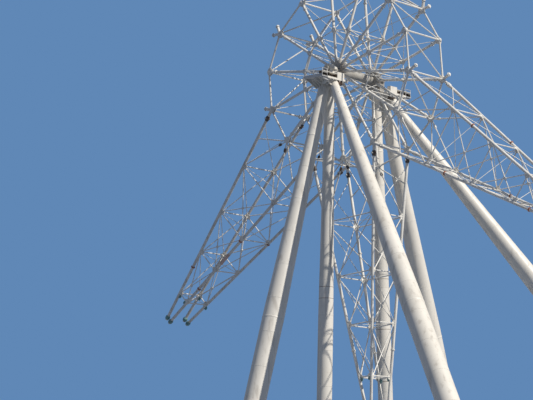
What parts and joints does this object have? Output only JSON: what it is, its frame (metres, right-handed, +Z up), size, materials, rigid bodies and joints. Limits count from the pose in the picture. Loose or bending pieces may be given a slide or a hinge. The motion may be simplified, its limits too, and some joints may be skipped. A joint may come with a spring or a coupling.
{
  "type": "ferris wheel under construction",
  "caption": "Giant ferris wheel in course of erection: splayed tubular legs, an axle in bearings, a spoked double ring and the first lattice arms. Scale model 1:2.",
  "frame": {"origin": "on the ground, under the middle of the whole", "axes": "+Z up, Y along the axle with the front at -Y, +X toward the side that the side legs reach out to"},
  "size_m": [39.2742, 30.1038, 37.9356],
  "materials": {
    "leg_paint": "satin cream paint",
    "lattice_paint": "satin cream paint",
    "bearing_housing": "satin paint",
    "axle_steel": "satin paint",
    "platform_steel": "matt paint",
    "base_steel": "matt grey paint"
  },
  "bodies": {
    "frame": {"front_column": "leg_paint", "front_column_foot": "base_steel", "front_outer_leg": "leg_paint", "front_outer_leg_foot": "base_steel", "front_side_leg": "leg_paint", "front_side_leg_foot": "base_steel", "front_leg_head": "leg_paint", "front_bearing": "bearing_housing", "front_platform": "platform_steel", "rear_column": "leg_paint", "rear_column_foot": "base_steel", "rear_outer_leg": "leg_paint", "rear_outer_leg_foot": "base_steel", "rear_side_leg": "leg_paint", "rear_side_leg_foot": "base_steel", "rear_leg_head": "leg_paint", "rear_bearing": "bearing_housing", "rear_platform": "platform_steel"},
    "wheel": {"axle": "axle_steel", "front_spokes": "lattice_paint", "rear_spokes": "lattice_paint", "ring_segment_1": "lattice_paint", "ring_segment_2": "lattice_paint", "ring_segment_3": "lattice_paint", "ring_segment_4": "lattice_paint", "ring_segment_5": "lattice_paint", "ring_segment_6": "lattice_paint", "ring_segment_7": "lattice_paint", "left_arm_front_face": "lattice_paint", "left_arm_rear_face": "lattice_paint", "left_arm_lead_web": "lattice_paint", "left_arm_trail_web": "lattice_paint", "bottom_arm_front_face": "lattice_paint", "bottom_arm_rear_face": "lattice_paint", "bottom_arm_lead_web": "lattice_paint", "bottom_arm_trail_web": "lattice_paint", "right_arm_front_face": "lattice_paint", "right_arm_rear_face": "lattice_paint", "right_arm_lead_web": "lattice_paint", "right_arm_trail_web": "lattice_paint"}
  },
  "joints": [
    {"name": "wheel_spin", "type": "hinge", "parent": "frame", "child": "wheel", "pos_m": [-2.37832, 0, 31], "axis": [0, 1, 0], "continuous": true}
  ]
}
